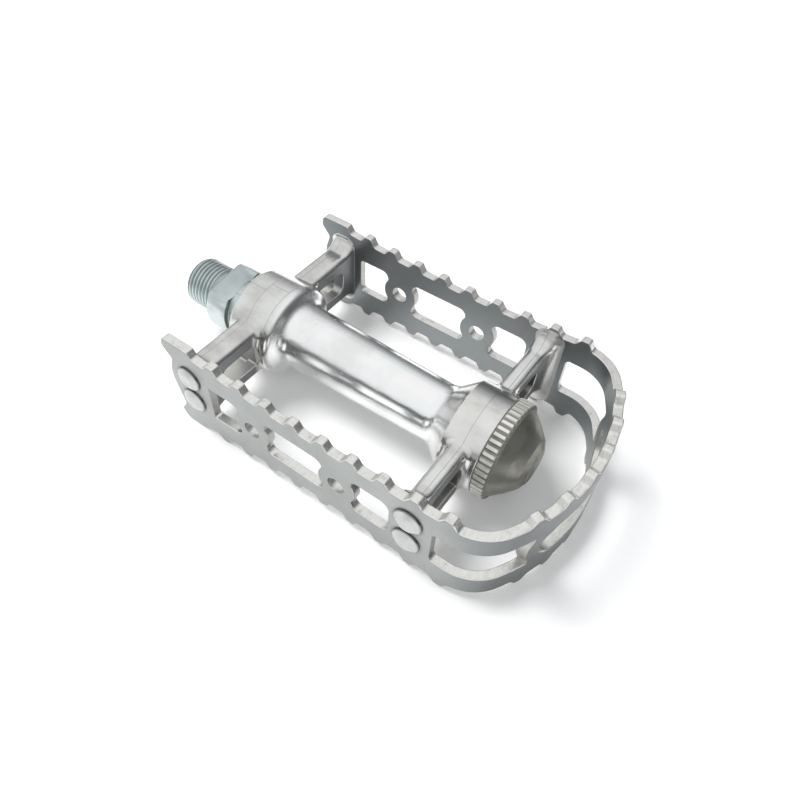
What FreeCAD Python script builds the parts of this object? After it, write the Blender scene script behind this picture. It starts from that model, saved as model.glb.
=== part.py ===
"""Road bicycle pedal with a one-piece looped cage, in millimetres.

X runs along the spindle from the crank outwards, Z is up, and the origin is on the
spindle's axis at the shoulder that seats against the crank.
"""
import FreeCAD
import Part
import math
import os

V = FreeCAD.Vector
AXIS_X = V(1, 0, 0)
AXIS_Y = V(0, 1, 0)
AXIS_Z = V(0, 0, 1)
ORIGIN = V(0, 0, 0)

# Spindle: a 9/16 inch thread, a collar with wrench flats and an integral cone
THREAD_R = 7.14
THREAD_LENGTH = 11.4
COLLAR_R = 9.8
COLLAR_LENGTH = 7.3
FLATS_WIDTH = 15.0
FLATS_TURN = 8.0
NECK_R = 8.3
AXLE_END_R = 4.6
STUD_R = 4.0
STUD_START = 81.2
STUD_END = 94.6
KEYWAY_WIDTH = 1.8
KEYWAY_DEPTH = 0.9

# Bearings: two rows of loose balls in angular contact
BALL_R = 1.984
BALL_COUNT = 11
BALL_PITCH_R = 7.5
RACE_GAP = 0.04
BALL_IN_X = 16.8
BALL_OUT_X = 84.0
CUP_R = 10.3
CUP_HALF = 2.6
CUP_IN_LIP = 4.0
CUP_BORE_R = 6.6

# Body: a casting with a tapered barrel, two flanges and four arms
BODY_START = 11.8
BODY_END = 89.8
FLANGE_R = 13.0
FLANGE_IN_END = 25.7
FLANGE_OUT_START = 79.8
BARREL_IN_R = 9.2
BARREL_OUT_R = 8.05
TUNNEL_R = 6.6
CAP_SEAT_R = 11.2
CAP_SEAT_DEPTH = 2.9

# Cage: one band bent round the outer end, toothed along both edges
CAGE_WIDTH = 65.4
CAGE_T = 2.5
CAGE_TIP_X = 114.0
END_ARC_R = 51.0
CORNER_R = 13.0
JOIN_X = 98.6
VALLEY_MIN = 10.85
VALLEY_LOW_X = 60.6
VALLEY_RISE = 0.00152
LOOP_VALLEY = 12.1
TOOTH_HEIGHT = 2.05
TOOTH_TOP = 2.0
TOOTH_FOOT = 4.8
TOOTH_CREST_R = 0.9
TOOTH_ROOT_R = 1.1
SIDE_TEETH = 9
SIDE_TOOTH_X = 27.4
TOOTH_PITCH = 8.42
LOOP_TEETH = 6
LOOP_PITCH = 8.6
WINDOW_HALF = 5.75
BOSS_R = 5.4
REFLECTOR_R = 2.4
REFLECTOR_X = (39.3, 65.6)
LOOP_WINDOW_X = 91.7
LOOP_WINDOW_Y = 20.3
SLOT_HALF_LENGTH = 18.0
SLOT_HALF_HEIGHT = 5.8
SLOT_WEB = 3.4
EDGE_OUT_R = 0.4
EDGE_IN_R = 0.22

# Arms and the rivets that hold the cage to them
ARM_IN_X = 18.6
ARM_OUT_X = 85.6
ARM_IN_LEFT = 14.9
ARM_IN_RIGHT = 22.4
ARM_OUT_LEFT = 82.2
ARM_OUT_RIGHT = 87.0
ARM_ROOT_Y = 6.0
ARM_HALF_HEIGHT = 7.8
ARM_EDGE_R = 1.7
PAD_EDGE_R = 3.2
PAD_SWEEP = 4.6
PAD_SWEEP_STEPS = (4.6, 4.1, 3.4, 2.4, 1.4, 0.6, 0.0)
POCKET_TOP = 3.2
POCKET_LOW = -3.9
POCKET_START_Y = 13.3
POCKET_END_Y = 25.4
WEB_IN = 3.2
WEB_OUT = 2.2
ROOT_FILLET = 1.8
MOUTH_R = 0.4
RIVET_Z = (5.0, -3.3)
RIVET_R = 1.5
RIVET_HEAD_R = 3.75
RIVET_HEAD_T = 1.35
RIVET_WALL = 0.4
RIVET_TOP_R = 2.0
RIVET_DEPTH = 2.2

# Outboard hardware
CONE_R = 7.0
CONE_END = 87.8
WASHER_T = 1.0
WASHER_R = 6.4
NUT_FLATS = 12.0
NUT_T = 4.6
CAP_RIM_R = 13.15
CAP_RIM_T = 3.5
CAP_WAIST_R = 9.45
CAP_WAIST_X = 96.4
CAP_NOSE_R = 6.75
CAP_NOSE_X = 99.9
CAP_WALL = 1.2
KNURL_COUNT = 48
KNURL_R = 0.46

PLATE_Y = CAGE_WIDTH / 2
ARM_TIP_Y = PLATE_Y - CAGE_T


def in_xz(u, v):
    """Place an outline point in the side view."""
    return V(u, 0, v)


def in_yz(u, v):
    """Place an outline point in the end view."""
    return V(0, u, v)


def in_xy(u, v):
    """Place an outline point in the plan view."""
    return V(u, v, 0)


def rounded_face(corners, place):
    """Make a face from (u, v, radius) corners, each rounded by its own radius."""
    cuts = []
    for i, (u, v, radius) in enumerate(corners):
        point = V(u, v, 0)
        before = V(*corners[i - 1][:2], 0) - point
        after = V(*corners[(i + 1) % len(corners)][:2], 0) - point
        before.normalize()
        after.normalize()
        half = before.getAngle(after) / 2
        if radius == 0 or half > math.radians(89.5):
            cuts.append((point, point, point))
            continue
        run = radius / math.tan(half)
        inward = before + after
        inward.normalize()
        top = point + inward * (radius / math.sin(half) - radius)
        cuts.append((point + before * run, top, point + after * run))
    edges = []
    for i, (start, top, end) in enumerate(cuts):
        last = cuts[i - 1][2]
        if (start - last).Length > 1e-6:
            edges.append(Part.makeLine(place(last.x, last.y), place(start.x, start.y)))
        if (end - start).Length > 1e-6:
            arc = Part.Arc(*(place(p.x, p.y) for p in (start, top, end)))
            edges.append(arc.toShape())
    return Part.Face(Part.Wire(edges))


def turned(corners):
    """Revolve (x, r, rounding) corners about the spindle's axis."""
    return rounded_face(corners, in_xz).revolve(ORIGIN, AXIS_X, 360)


def rod(x, length, radius):
    """Make a cylinder on the spindle's axis."""
    return Part.makeCylinder(radius, length, V(x, 0, 0), AXIS_X)


def through_y(face, depth=80.0):
    """Extrude a side-view face right across the pedal."""
    moved = face.copy()
    moved.translate(V(0, -depth / 2, 0))
    return moved.extrude(V(0, depth, 0))


def both_sides(shape):
    """Return a shape and its mirror image on the other side of the spindle."""
    return [shape, shape.mirror(ORIGIN, AXIS_Y)]


def mirrored_below(upper):
    """Close an upper outline with its own mirror image below the axis."""
    return upper + [(u, -v, radius) for u, v, radius in reversed(upper)]


def valley_height(x):
    """Height of the toothed edge between teeth, lowest near the middle."""
    return min(VALLEY_MIN + VALLEY_RISE * (x - VALLEY_LOW_X) ** 2, LOOP_VALLEY + 1.0)


def tooth_corners(at, left, right, top):
    """Corners of one flat-topped tooth between two valley heights."""
    foot = TOOTH_FOOT / 2
    crest = TOOTH_TOP / 2
    return [
        (at - foot, left, TOOTH_ROOT_R),
        (at - crest, top, TOOTH_CREST_R),
        (at + crest, top, TOOTH_CREST_R),
        (at + foot, right, TOOTH_ROOT_R),
    ]


def bend_plan():
    """Centres of the end arc and of a corner arc, and the angle at which they meet."""
    centre_x = CAGE_TIP_X - END_ARC_R
    corner_y = PLATE_Y - CORNER_R
    corner_x = centre_x + math.sqrt((END_ARC_R - CORNER_R) ** 2 - corner_y ** 2)
    turn = math.atan2(corner_y, corner_x - centre_x)
    return centre_x, corner_x, corner_y, turn


def band_depth(point):
    """Distance of a point below the band's outer surface."""
    centre_x, corner_x, corner_y, turn = bend_plan()
    side = abs(point.y)
    if point.x < corner_x:
        return PLATE_Y - side
    if math.atan2(side, point.x - centre_x) < turn:
        return END_ARC_R - math.hypot(point.x - centre_x, side)
    return CORNER_R - math.hypot(point.x - corner_x, side - corner_y)


def rim_edges(shape, depth):
    """Edges of the band's outline and openings at one depth, without its tangent seams."""
    centre_x, corner_x, corner_y, turn = bend_plan()
    found = []
    for edge in shape.Edges:
        span = edge.LastParameter - edge.FirstParameter
        points = [edge.valueAt(edge.FirstParameter + span * k) for k in (0.02, 0.5, 0.98)]
        if any(abs(band_depth(p) - depth) > 0.02 for p in points):
            continue
        middle = points[1]
        upright = math.hypot(points[2].x - points[0].x, points[2].y - points[0].y) < 1e-4
        at_corner = abs(middle.x - corner_x) < 0.01
        at_end = abs(math.atan2(abs(middle.y), middle.x - centre_x) - turn) < 1e-4
        if not (upright and (at_corner or at_end)):
            found.append(edge)
    return found


def plan_fill(offset, height):
    """Fill the cage's plan outline, moved inwards by an offset."""
    wide = PLATE_Y - offset
    centre_x, corner_x, corner_y, turn = bend_plan()
    end_r = END_ARC_R - offset
    corner_r = CORNER_R - offset
    touch = V(centre_x + end_r * math.cos(turn), end_r * math.sin(turn), 0)
    bend = (turn + math.pi / 2) / 2
    middle = V(corner_x + corner_r * math.cos(bend), corner_y + corner_r * math.sin(bend), 0)
    start_x = BODY_START - 5

    def flip(p):
        return V(p.x, -p.y, 0)

    side = V(corner_x, wide, 0)
    mouth = V(start_x, wide, 0)
    edges = [
        Part.makeLine(flip(mouth), flip(side)),
        Part.Arc(flip(side), flip(middle), flip(touch)).toShape(),
        Part.Arc(flip(touch), V(centre_x + end_r, 0, 0), touch).toShape(),
        Part.Arc(touch, middle, side).toShape(),
        Part.makeLine(side, mouth),
        Part.makeLine(mouth, flip(mouth)),
    ]
    face = Part.Face(Part.Wire(edges))
    face.translate(V(0, 0, -height))
    return face.extrude(V(0, 0, 2 * height))


def side_profile():
    """Side view of the plates: horns, waisted toothed edges and the plain run to the loop."""
    upper = []
    for i in range(SIDE_TEETH):
        at = SIDE_TOOTH_X + i * TOOTH_PITCH
        left = valley_height(at - TOOTH_FOOT / 2)
        right = valley_height(at + TOOTH_FOOT / 2)
        if i == SIDE_TEETH - 1:
            right = LOOP_VALLEY
        upper += tooth_corners(at, left, right, (left + right) / 2 + TOOTH_HEIGHT)
    upper.append((JOIN_X, LOOP_VALLEY, 0))
    top_horn = [
        (11.2, 3.0, 12.0),
        (13.2, 9.0, 1.2),
        (10.5, 12.3, 1.6),
        (11.0, 15.2, 1.5),
        (19.9, 15.2, TOOTH_CREST_R),
        (21.3, valley_height(21.6), TOOTH_ROOT_R),
    ]
    low_horn = [
        (21.8, -valley_height(21.8), 2.0),
        (19.3, -14.7, 2.5),
        (12.2, -14.7, 2.8),
        (11.4, -11.6, 1.6),
        (13.6, -8.4, 1.2),
    ]
    below = [(u, -v, radius) for u, v, radius in reversed(upper)]
    return rounded_face(top_horn + upper + below + low_horn, in_xz)


def loop_teeth(band):
    """Teeth of the outer loop, each square to the bent band."""
    centre_x = CAGE_TIP_X - END_ARC_R
    reach = TOOTH_FOOT / 2 + 0.8
    upper = [(-reach, LOOP_VALLEY, 0)]
    upper += tooth_corners(0, LOOP_VALLEY, LOOP_VALLEY, LOOP_VALLEY + TOOTH_HEIGHT)
    upper.append((reach, LOOP_VALLEY, 0))
    tooth = rounded_face(mirrored_below(upper), in_yz).extrude(V(2 * END_ARC_R, 0, 0))
    tooth.translate(V(centre_x, 0, 0))
    step = math.degrees(LOOP_PITCH / END_ARC_R)
    teeth = []
    for i in range(LOOP_TEETH):
        one = tooth.copy()
        one.rotate(V(centre_x, 0, 0), AXIS_Z, (i - (LOOP_TEETH - 1) / 2) * step)
        teeth.append(one.common(band))
    return teeth


def side_windows():
    """Three windows of each plate, scalloped round the reflector bosses."""
    high = WINDOW_HALF
    first, second = REFLECTOR_X
    spans = [
        (25.1, first - 4.3, 0.9, 2.2),
        (first + 4.3, second - 4.3, 2.0, 2.0),
        (second + 4.3, 80.4, 2.0, 2.4),
    ]
    bosses = [through_y(disc(x, BOSS_R)) for x in REFLECTOR_X]
    windows = []
    for left, right, left_r, right_r in spans:
        corners = [
            (left, high, left_r),
            (right, high, right_r),
            (right, -high, right_r),
            (left, -high, left_r),
        ]
        windows += [through_y(rounded_face(corners, in_xz)).cut(bosses)]
    return windows


def disc(x, radius, z=0.0):
    """Make a round side-view face."""
    return Part.Face(Part.Wire(Part.makeCircle(radius, V(x, 0, z), AXIS_Y)))


def loop_openings():
    """Window round each bend, and the slot in the outer end between them."""
    high = WINDOW_HALF
    bend = [
        (LOOP_WINDOW_X, high, 1.2),
        (CAGE_TIP_X + 10, high, 0),
        (CAGE_TIP_X + 10, -high, 0),
        (LOOP_WINDOW_X, -high, 1.2),
    ]
    window = rounded_face(bend, in_xz)
    window.translate(V(0, LOOP_WINDOW_Y, 0))
    window = window.extrude(V(0, PLATE_Y, 0))
    slot_centre = SLOT_HALF_LENGTH - SLOT_HALF_HEIGHT
    web = Part.makeCylinder(SLOT_HALF_HEIGHT + SLOT_WEB, 80, V(60, slot_centre, 0), AXIS_X)
    window = window.cut(web)
    slot = [
        (-SLOT_HALF_LENGTH, SLOT_HALF_HEIGHT, SLOT_HALF_HEIGHT - 0.01),
        (SLOT_HALF_LENGTH, SLOT_HALF_HEIGHT, SLOT_HALF_HEIGHT - 0.01),
        (SLOT_HALF_LENGTH, -SLOT_HALF_HEIGHT, SLOT_HALF_HEIGHT - 0.01),
        (-SLOT_HALF_LENGTH, -SLOT_HALF_HEIGHT, SLOT_HALF_HEIGHT - 0.01),
    ]
    end_slot = rounded_face(slot, in_yz).extrude(V(40, 0, 0))
    end_slot.translate(V(CAGE_TIP_X - 20, 0, 0))
    return both_sides(window) + [end_slot]


def make_cage():
    """Bend the toothed band round the outer end and pierce it."""
    tall = LOOP_VALLEY + TOOTH_HEIGHT + 3
    band = plan_fill(0, tall).cut(plan_fill(CAGE_T, tall + 1))
    plates = band.common(through_y(side_profile()))
    loop_box = Part.makeBox(40, 80, 2 * LOOP_VALLEY, V(JOIN_X, -40, -LOOP_VALLEY))
    loop = band.common(loop_box)
    blank = plates.fuse([loop] + loop_teeth(band)).removeSplitter()
    pierced = blank.cut(side_windows() + loop_openings())
    pierced = pierced.makeFillet(EDGE_OUT_R, rim_edges(pierced, 0))
    pierced = pierced.makeFillet(EDGE_IN_R, rim_edges(pierced, CAGE_T))
    holes = [through_y(disc(x, REFLECTOR_R)) for x in REFLECTOR_X]
    holes += [through_y(disc(x, RIVET_R, z)) for x in (ARM_IN_X, ARM_OUT_X) for z in RIVET_Z]
    return pierced.cut(holes)


def arm_section(y, left, right, half_height, corner):
    """Rounded rectangular section of an arm, square to its length."""
    corners = [
        (left, half_height, corner),
        (right, half_height, corner),
        (right, -half_height, corner),
        (left, -half_height, corner),
    ]
    wire = rounded_face(corners, in_xz).OuterWire
    wire.translate(V(0, y, 0))
    return wire


def make_arm(left, right, pad_left, pad_right, pad_height):
    """One solid arm, straight to near its tip, where it sweeps out into a pad for two rivets."""
    bar_end = ARM_TIP_Y - PAD_SWEEP
    bar = Part.Face(arm_section(ARM_ROOT_Y, left, right, ARM_HALF_HEIGHT, ARM_EDGE_R))
    bar = bar.extrude(V(0, bar_end - ARM_ROOT_Y, 0))
    sections = []
    for gap in PAD_SWEEP_STEPS:
        reach = PAD_SWEEP - math.sqrt(PAD_SWEEP ** 2 - (PAD_SWEEP - gap) ** 2)
        share = reach / PAD_SWEEP
        section = arm_section(
            ARM_TIP_Y - gap,
            left + (pad_left - left) * share,
            right + (pad_right - right) * share,
            ARM_HALF_HEIGHT + (pad_height - ARM_HALF_HEIGHT) * share,
            ARM_EDGE_R + (PAD_EDGE_R - ARM_EDGE_R) * share,
        )
        sections.append(section)
    return bar.fuse(Part.makeLoft(sections, True))


def pocket(x, length, start_y, end_y, top, low):
    """Round-ended hollow, sunk along the spindle's direction."""
    corners = [
        (start_y, top, 0.6),
        (end_y, top, 2.2),
        (end_y - 0.8, low, 2.2),
        (start_y, low, 0.6),
    ]
    face = rounded_face(corners, in_yz)
    face.translate(V(x, 0, 0))
    return face.extrude(V(length, 0, 0))


def inboard_hollows():
    """Hollow of an inboard arm, open to the crank's side, and the window in the web that is left."""
    web_x = ARM_IN_RIGHT - WEB_IN
    hollow = pocket(ARM_IN_LEFT - 4, web_x - ARM_IN_LEFT + 4, POCKET_START_Y, POCKET_END_Y - 0.4, 5.2, -5.2)
    window = pocket(web_x - 1, WEB_IN + 4, POCKET_START_Y, POCKET_END_Y, POCKET_TOP, POCKET_LOW)
    return both_sides(hollow) + both_sides(window)


def outboard_hollows():
    """Blind pocket in the outboard face of an outboard arm."""
    floor_x = ARM_OUT_LEFT + WEB_OUT
    return both_sides(pocket(floor_x, 8, POCKET_START_Y, POCKET_END_Y, POCKET_TOP, POCKET_LOW))


def root_edges(shape):
    """Edges at which the arms leave the flanges."""
    found = []
    for edge in shape.Edges:
        span = edge.LastParameter - edge.FirstParameter
        points = [edge.valueAt(edge.FirstParameter + span * k) for k in (0, 0.5, 1)]
        radii = [math.hypot(p.y, p.z) for p in points]
        on_flange = all(abs(r - FLANGE_R) < 0.35 for r in radii)
        if on_flange and all(abs(p.z) < 9.5 for p in points):
            found.append(edge)
    return found


def mouth_edges(shape):
    """Edges at which the hollows open in the faces of the arms."""
    spans = [
        (ARM_IN_LEFT - 0.6, ARM_IN_LEFT + 0.1),
        (ARM_IN_RIGHT - 0.1, ARM_IN_RIGHT + 0.5),
        (ARM_OUT_RIGHT - 0.1, ARM_OUT_RIGHT + 2.5),
    ]
    found = []
    for edge in shape.Edges:
        box = edge.BoundBox
        across = any(low < box.XMin and box.XMax < high for low, high in spans)
        along = POCKET_START_Y - 0.1 < min(abs(box.YMin), abs(box.YMax))
        along = along and max(abs(box.YMin), abs(box.YMax)) < POCKET_END_Y + 0.1
        if across and along and max(abs(box.ZMin), abs(box.ZMax)) < 5.3:
            found.append(edge)
    return found


def make_body():
    """Cast the barrel, flanges and arms in one piece, then bore it for the bearings."""
    barrel = [
        (BODY_START, 0, 0),
        (BODY_START, FLANGE_R, 1.0),
        (FLANGE_IN_END, FLANGE_R + 0.3, 2.2),
        (FLANGE_IN_END + 2.4, BARREL_IN_R, 3.4),
        (FLANGE_OUT_START - 5.5, BARREL_OUT_R, 5.0),
        (FLANGE_OUT_START, FLANGE_R - 0.3, 0),
        (FLANGE_OUT_START + 0.3, FLANGE_R, 0),
        (BODY_END, FLANGE_R, 0.3),
        (BODY_END, 0, 0),
    ]
    arms = both_sides(make_arm(ARM_IN_LEFT, ARM_IN_RIGHT, 14.4, 22.7, 11.8))
    arms += both_sides(make_arm(ARM_OUT_LEFT, ARM_OUT_RIGHT, 82.0, 90.2, 13.0))
    body = turned(barrel).fuse(arms).removeSplitter()
    body = body.makeFillet(ROOT_FILLET, root_edges(body))
    body = body.cut(inboard_hollows() + outboard_hollows())
    body = body.makeFillet(MOUTH_R, mouth_edges(body))
    return body.cut([turned(bore_profile())] + rivet_shanks(RIVET_R))


def bore_profile():
    """Stepped bore: seal mouth, cup seats, tunnel and the dust cap's seat."""
    cup_in = BALL_IN_X + CUP_HALF + 0.6
    cup_out = BALL_OUT_X - CUP_HALF - 0.6
    return [
        (BODY_START - 1, 0, 0),
        (BODY_START - 1, CUP_R, 0),
        (cup_in, CUP_R, 0),
        (cup_in, TUNNEL_R, 0),
        (cup_out, TUNNEL_R, 0),
        (cup_out, CUP_R, 0),
        (BODY_END - CAP_SEAT_DEPTH, CUP_R, 0),
        (BODY_END - CAP_SEAT_DEPTH, CAP_SEAT_R, 0),
        (BODY_END + 1, CAP_SEAT_R, 0),
        (BODY_END + 1, 0, 0),
    ]


def rivet_shanks(radius):
    """Plain shanks of all eight rivets, from the plates into the arms."""
    shanks = []
    for x in (ARM_IN_X, ARM_OUT_X):
        for z in RIVET_Z:
            start = V(x, PLATE_Y - CAGE_T - RIVET_DEPTH, z)
            shank = Part.makeCylinder(radius, CAGE_T + RIVET_DEPTH, start, AXIS_Y)
            shanks += both_sides(shank)
    return shanks


def make_rivets():
    """Eight rivets with low domed heads, as one group of separate solids."""
    foot = -CAGE_T - RIVET_DEPTH
    rivet = turned([
        (foot, 0, 0),
        (foot, RIVET_R, 0),
        (0, RIVET_R, 0),
        (0, RIVET_HEAD_R, 0),
        (RIVET_WALL, RIVET_HEAD_R, 0.25),
        (RIVET_HEAD_T, RIVET_TOP_R, 2.4),
        (RIVET_HEAD_T, 0, 0),
    ])
    rivet.rotate(ORIGIN, AXIS_Z, 90)
    rivets = []
    for x in (ARM_IN_X, ARM_OUT_X):
        for z in RIVET_Z:
            one = rivet.copy()
            one.translate(V(x, PLATE_Y, z))
            rivets += both_sides(one)
    return Part.makeCompound(rivets)


def race_arc(x, start_angle, end_angle):
    """Quarter of a ball groove's section, as three points in the side view."""
    radius = BALL_R + RACE_GAP
    angles = (start_angle, (start_angle + end_angle) / 2, end_angle)
    return [
        V(x + radius * math.cos(math.radians(a)), 0, BALL_PITCH_R + radius * math.sin(math.radians(a)))
        for a in angles
    ]


def ring_with_race(before, arc, after):
    """Revolve a closed section made of straight runs and one race arc."""
    start, middle, end = arc
    points = [V(x, 0, r) for x, r in before] + [start]
    edges = [Part.makeLine(a, b) for a, b in zip(points, points[1:])]
    edges.append(Part.Arc(start, middle, end).toShape())
    points = [end] + [V(x, 0, r) for x, r in after] + [V(before[0][0], 0, before[0][1])]
    edges += [Part.makeLine(a, b) for a, b in zip(points, points[1:])]
    return Part.Face(Part.Wire(edges)).revolve(ORIGIN, AXIS_X, 360)


def make_cup(x, facing, lip_length):
    """Pressed bearing cup; facing is -1 when it opens inboard and +1 outboard."""
    arc = race_arc(x, 90, 0 if facing < 0 else 180)
    back = x - facing * (CUP_HALF + 0.6)
    lip = x + facing * lip_length
    rim = BALL_PITCH_R + BALL_R + RACE_GAP
    before = [(back, CUP_R), (lip, CUP_R), (lip, rim)]
    after = [(arc[2].x, CUP_BORE_R), (back, CUP_BORE_R)]
    return ring_with_race(before, arc, after)


def make_balls(x):
    """Loose balls of one bearing, evenly spread."""
    balls = []
    for i in range(BALL_COUNT):
        turn = 2 * math.pi * i / BALL_COUNT
        place = V(x, BALL_PITCH_R * math.cos(turn), BALL_PITCH_R * math.sin(turn))
        balls.append(Part.makeSphere(BALL_R, place))
    return balls


def make_spindle():
    """Turn the spindle, then mill its wrench flats and the keyway of its outer end."""
    arc = race_arc(BALL_IN_X, 180, 270)
    groove_r = arc[2].z
    before = [
        (-THREAD_LENGTH, 0),
        (-THREAD_LENGTH, THREAD_R - 1.0),
        (-THREAD_LENGTH + 1.0, THREAD_R),
        (0, THREAD_R),
        (0, COLLAR_R - 0.4),
        (0.4, COLLAR_R),
        (COLLAR_LENGTH, COLLAR_R),
        (COLLAR_LENGTH, NECK_R),
        (arc[0].x, NECK_R),
    ]
    after = [
        (BALL_IN_X + 3, groove_r),
        (STUD_START - 4, AXLE_END_R),
        (STUD_START, AXLE_END_R),
        (STUD_START, STUD_R),
        (STUD_END - 0.6, STUD_R),
        (STUD_END, STUD_R - 0.6),
        (STUD_END, 0),
    ]
    spindle = ring_with_race(before, arc, after)
    flats = []
    for side in (0, 180):
        block = Part.makeBox(COLLAR_LENGTH + 0.01, 30, 10, V(-0.005, -15, FLATS_WIDTH / 2))
        block.rotate(ORIGIN, AXIS_X, FLATS_TURN + side)
        flats.append(block)
    keyway = Part.makeBox(10, KEYWAY_WIDTH, 4, V(CONE_END - 0.6, -KEYWAY_WIDTH / 2, STUD_R - KEYWAY_DEPTH))
    return spindle.cut(flats + [keyway])


def make_cone():
    """Adjusting cone that closes the outer bearing."""
    arc = race_arc(BALL_OUT_X, 270, 360)
    start = STUD_START + 0.6
    before = [(start, STUD_R), (start, arc[0].z)]
    after = [(arc[2].x, CONE_R), (CONE_END, CONE_R), (CONE_END, STUD_R)]
    cone = ring_with_race(before, arc, after)
    flats = []
    for side in (-1, 1):
        y = 5.8 if side > 0 else -15.8
        flats.append(Part.makeBox(4, 10, 20, V(arc[2].x + 0.4, y, -10)))
    return cone.cut(flats)


def make_washer():
    """Keyed washer whose tab rides in the spindle's keyway."""
    ring = rod(CONE_END, WASHER_T, WASHER_R).cut(rod(CONE_END, WASHER_T, STUD_R + 0.1))
    width = KEYWAY_WIDTH - 0.2
    tab = Part.makeBox(WASHER_T, width, 1.4, V(CONE_END, -width / 2, STUD_R - KEYWAY_DEPTH + 0.1))
    return ring.fuse(tab).removeSplitter()


def make_nut():
    """Chamfered hexagon lock nut."""
    start = CONE_END + WASHER_T
    corner = NUT_FLATS / math.sqrt(3)
    points = []
    for i in range(7):
        turn = math.radians(60 * i)
        points.append(V(start, corner * math.cos(turn), corner * math.sin(turn)))
    hexagon = Part.Face(Part.makePolygon(points)).extrude(V(NUT_T, 0, 0))
    chamfer = [
        (start, 0, 0),
        (start, corner, 0),
        (start + NUT_T - 0.8, corner, 0),
        (start + NUT_T, corner - 1.4, 0),
        (start + NUT_T, 0, 0),
    ]
    return hexagon.common(turned(chamfer)).cut(rod(start, NUT_T, STUD_R))


def make_dust_cap():
    """Knurled dust cap: a hollow truncated cone with a seat that enters the body."""
    rim_end = BODY_END + CAP_RIM_T
    seat = BODY_END - CAP_SEAT_DEPTH + 0.2
    outside = [
        (seat, 0, 0),
        (seat, CAP_SEAT_R, 0),
        (BODY_END, CAP_SEAT_R, 0),
        (BODY_END, CAP_RIM_R - 0.4, 0),
        (BODY_END + 0.4, CAP_RIM_R, 0),
        (rim_end - 0.4, CAP_RIM_R, 0),
        (rim_end, CAP_RIM_R - 0.4, 0),
        (rim_end + 0.2, CAP_RIM_R - 1.2, 0.5),
        (CAP_WAIST_X, CAP_WAIST_R, 5.0),
        (CAP_NOSE_X - 1.0, CAP_NOSE_R, 1.2),
        (CAP_NOSE_X, CAP_NOSE_R - 2.1, 1.0),
        (CAP_NOSE_X, 0, 0),
    ]
    hollow_r = CAP_SEAT_R - CAP_WALL
    inside = [
        (seat - 1, 0, 0),
        (seat - 1, hollow_r, 0),
        (rim_end, hollow_r, 1.0),
        (CAP_NOSE_X - CAP_WALL, CAP_NOSE_R - CAP_WALL - 1.2, 1.0),
        (CAP_NOSE_X - CAP_WALL, 0, 0),
    ]
    cap = turned(outside).cut(turned(inside))
    grooves = []
    for i in range(KNURL_COUNT):
        turn = 2 * math.pi * i / KNURL_COUNT
        groove_r = CAP_RIM_R + 0.02
        start = V(BODY_END - 0.5, groove_r * math.cos(turn), groove_r * math.sin(turn))
        grooves.append(Part.makeCylinder(KNURL_R, CAP_RIM_T + 0.5, start, AXIS_X))
    return cap.cut(grooves)


def build():
    """Make every piece, named as it would be laid out on a bench."""
    pieces = {
        "cage": make_cage(),
        "body": make_body(),
        "cage_rivets": make_rivets(),
        "spindle": make_spindle(),
        "inboard_cup": make_cup(BALL_IN_X, -1, CUP_IN_LIP),
        "outboard_cup": make_cup(BALL_OUT_X, 1, CUP_HALF),
        "adjusting_cone": make_cone(),
        "keyed_washer": make_washer(),
        "lock_nut": make_nut(),
        "dust_cap": make_dust_cap(),
    }
    for name, x in (("inboard_ball", BALL_IN_X), ("outboard_ball", BALL_OUT_X)):
        for i, ball in enumerate(make_balls(x)):
            pieces[f"{name}_{i + 1:02d}"] = ball
    return pieces


def main():
    """Write one STEP file per piece."""
    os.makedirs("parts", exist_ok=True)
    for name, shape in build().items():
        shape.exportStep(f"parts/{name}.step")
        print(name, len(shape.Solids), "solid", round(shape.Volume, 1), "mm3", shape.isValid())


main()
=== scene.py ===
"""Looks of a road bicycle pedal: finishes, a cut thread, softened edges, studio and camera.

Everything is in metres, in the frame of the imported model: X runs along the spindle from
the crank outwards, Z is up, and the origin is at the shoulder that seats on the crank.
"""
import logging
import math
from dataclasses import dataclass
from enum import Enum
from typing import Dict, Mapping, Optional, Sequence, Tuple, Union

import bmesh
import bpy
from mathutils import Matrix, Vector


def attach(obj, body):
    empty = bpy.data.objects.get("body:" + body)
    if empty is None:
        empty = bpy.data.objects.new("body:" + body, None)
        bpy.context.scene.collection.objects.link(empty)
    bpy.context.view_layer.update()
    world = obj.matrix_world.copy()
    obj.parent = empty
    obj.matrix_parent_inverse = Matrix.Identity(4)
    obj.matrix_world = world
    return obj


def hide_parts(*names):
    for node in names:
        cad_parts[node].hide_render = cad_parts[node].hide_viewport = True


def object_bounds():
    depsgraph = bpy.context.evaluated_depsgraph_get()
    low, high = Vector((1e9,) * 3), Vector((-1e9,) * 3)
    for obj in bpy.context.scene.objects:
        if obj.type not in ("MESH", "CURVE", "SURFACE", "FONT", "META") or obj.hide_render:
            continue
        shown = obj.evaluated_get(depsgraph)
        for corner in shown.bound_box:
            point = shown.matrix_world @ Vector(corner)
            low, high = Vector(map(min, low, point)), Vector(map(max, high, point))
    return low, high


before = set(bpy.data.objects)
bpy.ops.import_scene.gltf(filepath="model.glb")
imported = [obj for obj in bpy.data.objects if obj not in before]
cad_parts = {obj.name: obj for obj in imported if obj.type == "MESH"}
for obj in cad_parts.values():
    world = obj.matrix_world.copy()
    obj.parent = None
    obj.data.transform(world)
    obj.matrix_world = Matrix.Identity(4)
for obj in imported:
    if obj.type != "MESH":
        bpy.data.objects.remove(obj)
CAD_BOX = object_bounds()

LOG = logging.getLogger("pedal")
MM = 0.001

# Axes of the rivets, two on each arm's pad.
RIVET_X = (18.6 * MM, 85.6 * MM)
RIVET_Z = (5.0 * MM, -3.3 * MM)

# Corners nearer than this are one corner, and faces that turn less than this are one flat face.
JOIN_GAP = 1e-6
FLAT_TURN = math.radians(0.6)

# Keeps a divisor off zero.
TINY = 1e-6

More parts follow.
